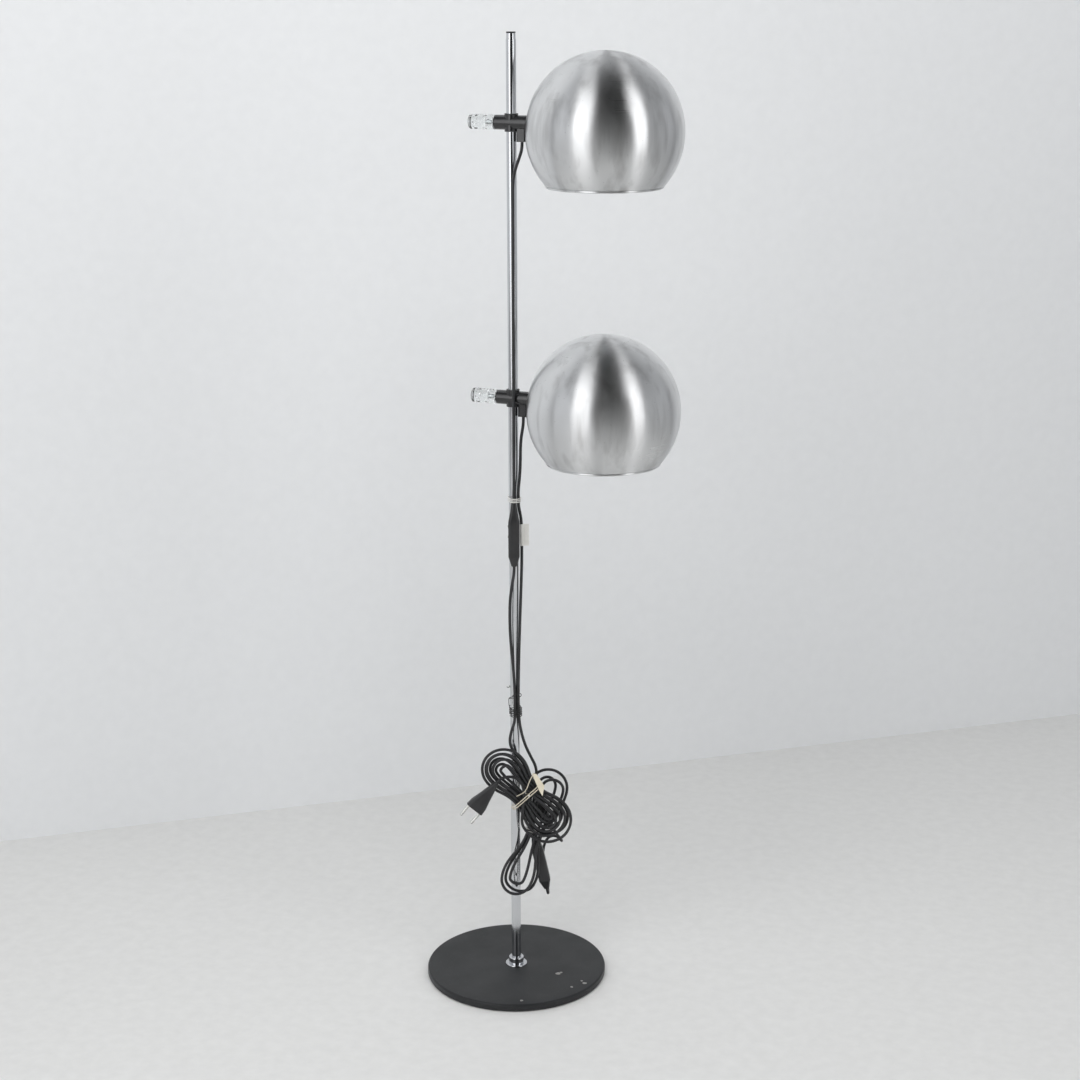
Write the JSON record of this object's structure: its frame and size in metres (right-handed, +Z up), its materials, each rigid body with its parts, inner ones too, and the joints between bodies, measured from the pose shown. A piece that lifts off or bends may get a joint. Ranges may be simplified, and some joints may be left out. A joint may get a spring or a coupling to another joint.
{
  "type": "floor lamp",
  "caption": "Floor lamp: two spun aluminium ball shades on clamp arms that slide, swivel and tilt on a chrome pole with a round weighted base.",
  "frame": {"origin": "centre of the base's underside, where the pole's axis meets the floor", "axes": "+Z up the pole, +X along both arms from the pole to the shades, so the knobs point along -X"},
  "size_m": [0.3517, 0.25, 1.292],
  "materials": {
    "satin_black_paint": "satin paint on steel",
    "felt": "felt",
    "chrome": "polished chrome plate",
    "black_cap": "moulded",
    "zinc_steel": "zinc plated",
    "brass": "turned",
    "arm_plastic": "moulded, gloss",
    "nylon": "moulded nylon",
    "clear_acrylic": "clear, polished",
    "spun_aluminium": "spun and brushed",
    "holder_plastic": "phenolic moulding",
    "lamp_cap_metal": "rolled screw cap",
    "opal_glass": "opal",
    "cord_pvc": "flexible sheath",
    "switch_plastic": "moulded",
    "plug_plastic": "moulded on the cord",
    "pin_metal": "nickel plated",
    "white_tie": "plastic covered wire",
    "black_tie": "plastic covered wire",
    "string": "twisted cotton",
    "paper": "paper"
  },
  "bodies": {
    "stand": {"base_disc": "satin_black_paint", "base_felt": "felt", "foot_flange": "chrome", "foot_collar": "chrome", "pole_tube": "chrome", "pole_foot_bush": "zinc_steel", "pole_top_plug": "black_cap", "foot_stud": "zinc_steel", "foot_nut": "zinc_steel", "switch_a_cover": "switch_plastic", "switch_a_case": "switch_plastic", "plug_a_body": "plug_plastic", "plug_a_pins": "pin_metal", "switch_b_cover": "switch_plastic", "switch_b_case": "switch_plastic", "plug_b_body": "plug_plastic", "plug_b_pins": "pin_metal", "tie_white": "white_tie", "tie_black": "black_tie", "tie_upper_hank": "string", "tie_lower_hank": "white_tie", "cord_label": "paper", "tie_tag": "paper", "upper_lead_run": "cord_pvc", "upper_lead_middle": "cord_pvc", "upper_lead_hank": "cord_pvc", "upper_lead_tail": "cord_pvc", "lower_lead_run": "cord_pvc", "lower_lead_middle": "cord_pvc", "lower_lead_hank": "cord_pvc", "lower_lead_link": "cord_pvc", "lower_lead_tail": "cord_pvc"},
    "upper_carriage": {"upper_liner": "nylon", "upper_lead_bend": "cord_pvc"},
    "upper_arm": {"upper_clamp": "arm_plastic"},
    "upper_pressure_pad": {"upper_pad": "brass"},
    "upper_knob_and_screw": {"upper_knob": "clear_acrylic", "upper_screw": "zinc_steel"},
    "upper_shade_group": {"upper_shade": "spun_aluminium", "upper_seat_ring": "holder_plastic", "upper_inner_nut": "zinc_steel", "upper_nipple": "brass", "upper_lampholder": "holder_plastic", "upper_lamp_cap": "lamp_cap_metal", "upper_bulb": "opal_glass"},
    "lower_carriage": {"lower_liner": "nylon", "lower_lead_bend": "cord_pvc"},
    "lower_arm": {"lower_clamp": "arm_plastic"},
    "lower_pressure_pad": {"lower_pad": "brass"},
    "lower_knob_and_screw": {"lower_knob": "clear_acrylic", "lower_screw": "zinc_steel"},
    "lower_shade_group": {"lower_shade": "spun_aluminium", "lower_seat_ring": "holder_plastic", "lower_inner_nut": "zinc_steel", "lower_nipple": "brass", "lower_lampholder": "holder_plastic", "lower_lamp_cap": "lamp_cap_metal", "lower_bulb": "opal_glass"},
    "switch_a_button": {"switch_a_rocker": "switch_plastic"},
    "switch_b_button": {"switch_b_rocker": "switch_plastic"}
  },
  "joints": [
    {"name": "upper_slide", "type": "slide", "parent": "stand", "child": "upper_carriage", "axis": [0, 0, 1], "range_m": [-0.06, 0.09], "deforming": ["upper_lead_run"]},
    {"name": "upper_swivel", "type": "hinge", "parent": "upper_carriage", "child": "upper_arm", "pos_m": [0, 0, 1.18], "axis": [0, 0, 1], "range_deg": [-105, 45], "deforming": ["upper_lead_bend"]},
    {"name": "upper_tilt", "type": "hinge", "parent": "upper_arm", "child": "upper_shade_group", "pos_m": [0.025, 0, 1.18], "axis": [1, 0, 0], "range_deg": [-160, 160]},
    {"name": "upper_pad_travel", "type": "slide", "parent": "upper_arm", "child": "upper_pressure_pad", "axis": [-1, 0, 0], "range_m": [0, 0.001]},
    {"name": "upper_knob_turn", "type": "hinge", "parent": "upper_pressure_pad", "child": "upper_knob_and_screw", "pos_m": [-0.04, 0, 1.18], "axis": [-1, 0, 0], "range_deg": [0, 360]},
    {"name": "lower_slide", "type": "slide", "parent": "stand", "child": "lower_carriage", "axis": [0, 0, 1], "range_m": [-0.04, 0.065], "deforming": ["lower_lead_run"]},
    {"name": "lower_swivel", "type": "hinge", "parent": "lower_carriage", "child": "lower_arm", "pos_m": [0, 0, 0.825], "axis": [0, 0, 1], "range_deg": [-6, 60], "deforming": ["lower_lead_bend"]},
    {"name": "lower_tilt", "type": "hinge", "parent": "lower_arm", "child": "lower_shade_group", "pos_m": [0.025, 0, 0.825], "axis": [1, 0, 0], "range_deg": [-160, 160]},
    {"name": "lower_pad_travel", "type": "slide", "parent": "lower_arm", "child": "lower_pressure_pad", "axis": [-1, 0, 0], "range_m": [0, 0.001]},
    {"name": "lower_knob_turn", "type": "hinge", "parent": "lower_pressure_pad", "child": "lower_knob_and_screw", "pos_m": [-0.04, 0, 0.825], "axis": [-1, 0, 0], "range_deg": [0, 360]},
    {"name": "switch_a_press", "type": "hinge", "parent": "stand", "child": "switch_a_button", "pos_m": [0.00358, -0.01473, 0.6474], "axis": [-0.3746, 0.9272, 0], "range_deg": [0, 14]},
    {"name": "switch_b_press", "type": "hinge", "parent": "stand", "child": "switch_b_button", "pos_m": [0.02727, 0.02067, 0.16903], "axis": [0.9066, 0.3663, 0.2094], "range_deg": [0, 14]}
  ],
  "couplings": [
    {"joint": "upper_knob_turn", "follows": "upper_pad_travel", "rad_per_m": 6283.2},
    {"joint": "lower_knob_turn", "follows": "lower_pad_travel", "rad_per_m": 6283.2}
  ]
}
